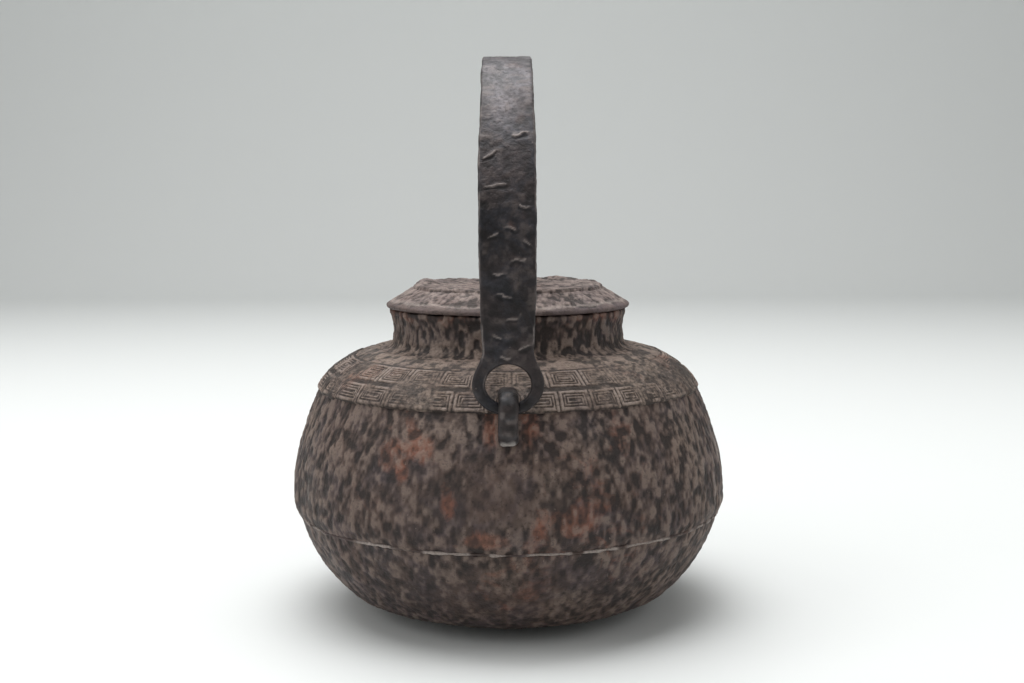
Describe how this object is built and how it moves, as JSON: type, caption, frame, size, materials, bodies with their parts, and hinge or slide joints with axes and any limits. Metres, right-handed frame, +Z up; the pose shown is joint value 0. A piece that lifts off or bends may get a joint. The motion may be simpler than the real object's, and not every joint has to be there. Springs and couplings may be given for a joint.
{
  "type": "tetsubin kettle",
  "caption": "Low round cast-iron water kettle with a patterned shoulder band, a short spout, a lift-off lid and an arched forged handle that swings in loops",
  "frame": {"origin": "middle of the foot, on the table", "axes": "+Z up, +Y towards the spout, the handle's plane holds the Y axis"},
  "size_m": [0.1706, 0.2057, 0.2154],
  "materials": {
    "body_iron": "rough rusty cast skin",
    "lid_iron": "rough pitted cast skin",
    "handle_iron": "hammered dark forged iron",
    "loop_iron": "worn dark forged iron",
    "knob_bronze": "dark patinated bronze"
  },
  "bodies": {
    "vessel": {"kettle_body": "body_iron", "front_loop": "loop_iron", "rear_loop": "loop_iron"},
    "cover": {"lid": "lid_iron", "lid_knob": "knob_bronze", "knob_petal_seat": "knob_bronze", "knob_inner_washer": "knob_bronze"},
    "bail": {"handle": "handle_iron"}
  },
  "joints": [
    {"name": "lid_lift", "type": "slide", "parent": "vessel", "child": "cover", "axis": [0, 0, 1], "range_m": [0, 0.045]},
    {"name": "handle_swing", "type": "hinge", "parent": "vessel", "child": "bail", "pos_m": [0, 0, 0.0977], "axis": [0, 1, 0], "range_deg": [-112, 112]}
  ]
}
